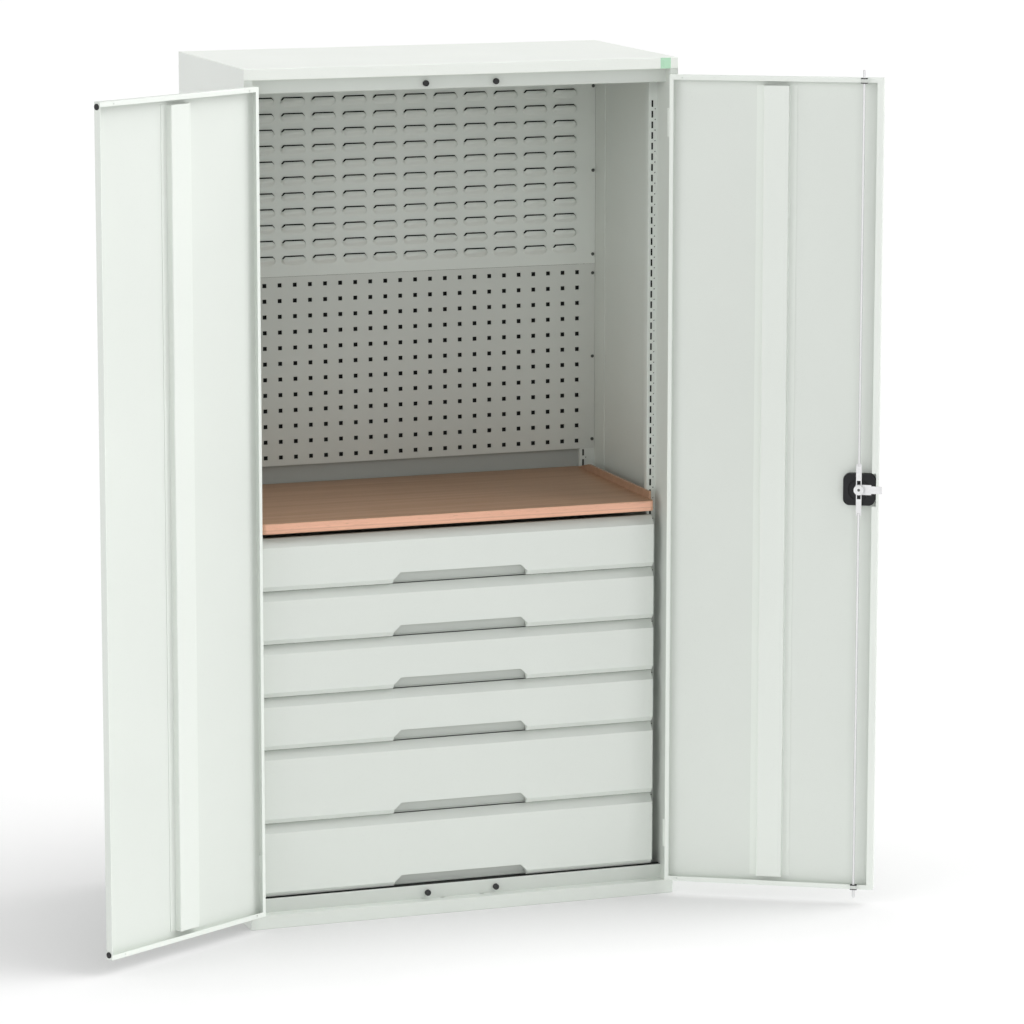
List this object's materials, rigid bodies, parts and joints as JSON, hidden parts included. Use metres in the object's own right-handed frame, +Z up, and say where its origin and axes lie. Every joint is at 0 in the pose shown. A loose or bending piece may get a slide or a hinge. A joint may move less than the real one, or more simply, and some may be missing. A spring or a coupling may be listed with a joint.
{
  "type": "tool cabinet with doors",
  "caption": "Free-standing sheet-steel tool cabinet with hinged doors, a wooden worktop over drawers, and a louvred and perforated back wall.",
  "frame": {"origin": "centre of the cabinet's footprint on the floor, without the doors", "axes": "+Z up, the doors and drawers face -Y, +X to the right seen from the front"},
  "size_m": [1.8772, 0.8254, 2],
  "materials": {
    "carcass_paint": "satin light grey powder coat",
    "door_paint": "satin light grey powder coat",
    "drawer_paint": "satin light grey powder coat",
    "drawer_box_paint": "satin light grey powder coat",
    "panel_paint": "satin light grey powder coat",
    "hinge_paint": "satin light grey powder coat",
    "beech_board": "clear lacquer over beech multiplex",
    "beech_batten": "clear lacquer over beech",
    "zinc_steel": "bright zinc plating",
    "screw_zinc": "bright zinc plating",
    "black_plastic": "fine grained",
    "black_rubber": "matt",
    "badge_plastic": "plain, unprinted",
    "lock_chrome": "polished"
  },
  "bodies": {
    "cabinet": {"side_panel_left": "carcass_paint", "side_panel_right": "carcass_paint", "back_panel": "carcass_paint", "top_panel": "carcass_paint", "base_tray": "carcass_paint", "top_front_rail": "carcass_paint", "bottom_front_rail": "carcass_paint", "front_post_left": "carcass_paint", "front_post_right": "carcass_paint", "rear_post_left": "carcass_paint", "rear_post_right": "carcass_paint", "louvre_panel": "panel_paint", "perforated_panel": "panel_paint", "panel_screws": "screw_zinc", "worktop": "beech_board", "worktop_battens": "beech_batten", "worktop_brackets": "zinc_steel", "fixed_runners": "zinc_steel", "rail_buffers": "black_rubber", "badge_plate": "badge_plastic", "hinge_frame_leaves": "hinge_paint", "hinge_pins": "zinc_steel"},
    "left_door": {"left_door_panel": "door_paint", "left_door_stiffener": "door_paint", "left_door_buffers": "black_rubber", "left_door_hinge_leaves": "hinge_paint"},
    "right_door": {"right_door_panel": "door_paint", "right_door_stiffener": "door_paint", "right_door_hinge_leaves": "hinge_paint", "lock_housing": "black_plastic", "rod_guides": "black_plastic"},
    "lock_turn": {"door_handle": "black_plastic", "lock_hub": "zinc_steel"},
    "key_core": {"lock_cylinder": "lock_chrome"},
    "rod_up": {"upper_rod": "zinc_steel"},
    "rod_down": {"lower_rod": "zinc_steel"},
    "drawer_1": {"drawer_front_1": "drawer_paint", "drawer_box_1": "drawer_box_paint", "drawer_runners_1": "zinc_steel"},
    "slides_1": {"slide_middles_1": "zinc_steel"},
    "drawer_2": {"drawer_front_2": "drawer_paint", "drawer_box_2": "drawer_box_paint", "drawer_runners_2": "zinc_steel"},
    "slides_2": {"slide_middles_2": "zinc_steel"},
    "drawer_3": {"drawer_front_3": "drawer_paint", "drawer_box_3": "drawer_box_paint", "drawer_runners_3": "zinc_steel"},
    "slides_3": {"slide_middles_3": "zinc_steel"},
    "drawer_4": {"drawer_front_4": "drawer_paint", "drawer_box_4": "drawer_box_paint", "drawer_runners_4": "zinc_steel"},
    "slides_4": {"slide_middles_4": "zinc_steel"},
    "drawer_5": {"drawer_front_5": "drawer_paint", "drawer_box_5": "drawer_box_paint", "drawer_runners_5": "zinc_steel"},
    "slides_5": {"slide_middles_5": "zinc_steel"},
    "drawer_6": {"drawer_front_6": "drawer_paint", "drawer_box_6": "drawer_box_paint", "drawer_runners_6": "zinc_steel"},
    "slides_6": {"slide_middles_6": "zinc_steel"}
  },
  "joints": [
    {"name": "left_door_hinge", "type": "hinge", "parent": "cabinet", "child": "left_door", "pos_m": [-0.5045, -0.2765, 1], "axis": [0, 0, -1], "range_deg": [-150, 30]},
    {"name": "right_door_hinge", "type": "hinge", "parent": "cabinet", "child": "right_door", "pos_m": [0.5045, -0.2765, 1], "axis": [0, 0, 1], "range_deg": [-150, 30]},
    {"name": "handle_turn", "type": "hinge", "parent": "right_door", "child": "lock_turn", "pos_m": [0.89823, -0.50555, 0.9992], "axis": [0.5, 0.866, 0], "range_deg": [0, 90]},
    {"name": "key_turn", "type": "hinge", "parent": "lock_turn", "child": "key_core", "pos_m": [0.89823, -0.50555, 0.9992], "axis": [0.5, 0.866, 0], "range_deg": [0, 90]},
    {"name": "rod_up_slide", "type": "slide", "parent": "right_door", "child": "rod_up", "axis": [0, 0, -1], "range_m": [0, 0.016]},
    {"name": "rod_down_slide", "type": "slide", "parent": "right_door", "child": "rod_down", "axis": [0, 0, 1], "range_m": [0, 0.016]},
    {"name": "drawer_1_slide", "type": "slide", "parent": "cabinet", "child": "drawer_1", "axis": [0, -1, 0], "range_m": [0, 0.45]},
    {"name": "slides_1_slide", "type": "slide", "parent": "cabinet", "child": "slides_1", "axis": [0, -1, 0], "range_m": [0, 0.225]},
    {"name": "drawer_2_slide", "type": "slide", "parent": "cabinet", "child": "drawer_2", "axis": [0, -1, 0], "range_m": [0, 0.45]},
    {"name": "slides_2_slide", "type": "slide", "parent": "cabinet", "child": "slides_2", "axis": [0, -1, 0], "range_m": [0, 0.225]},
    {"name": "drawer_3_slide", "type": "slide", "parent": "cabinet", "child": "drawer_3", "axis": [0, -1, 0], "range_m": [0, 0.45]},
    {"name": "slides_3_slide", "type": "slide", "parent": "cabinet", "child": "slides_3", "axis": [0, -1, 0], "range_m": [0, 0.225]},
    {"name": "drawer_4_slide", "type": "slide", "parent": "cabinet", "child": "drawer_4", "axis": [0, -1, 0], "range_m": [0, 0.45]},
    {"name": "slides_4_slide", "type": "slide", "parent": "cabinet", "child": "slides_4", "axis": [0, -1, 0], "range_m": [0, 0.225]},
    {"name": "drawer_5_slide", "type": "slide", "parent": "cabinet", "child": "drawer_5", "axis": [0, -1, 0], "range_m": [0, 0.45]},
    {"name": "slides_5_slide", "type": "slide", "parent": "cabinet", "child": "slides_5", "axis": [0, -1, 0], "range_m": [0, 0.225]},
    {"name": "drawer_6_slide", "type": "slide", "parent": "cabinet", "child": "drawer_6", "axis": [0, -1, 0], "range_m": [0, 0.45]},
    {"name": "slides_6_slide", "type": "slide", "parent": "cabinet", "child": "slides_6", "axis": [0, -1, 0], "range_m": [0, 0.225]}
  ],
  "couplings": [
    {"joint": "rod_up_slide", "follows": "handle_turn", "m_per_rad": 0.010185},
    {"joint": "rod_down_slide", "follows": "handle_turn", "m_per_rad": 0.010185},
    {"joint": "slides_1_slide", "follows": "drawer_1_slide", "ratio": 0.5},
    {"joint": "slides_2_slide", "follows": "drawer_2_slide", "ratio": 0.5},
    {"joint": "slides_3_slide", "follows": "drawer_3_slide", "ratio": 0.5},
    {"joint": "slides_4_slide", "follows": "drawer_4_slide", "ratio": 0.5},
    {"joint": "slides_5_slide", "follows": "drawer_5_slide", "ratio": 0.5},
    {"joint": "slides_6_slide", "follows": "drawer_6_slide", "ratio": 0.5}
  ]
}
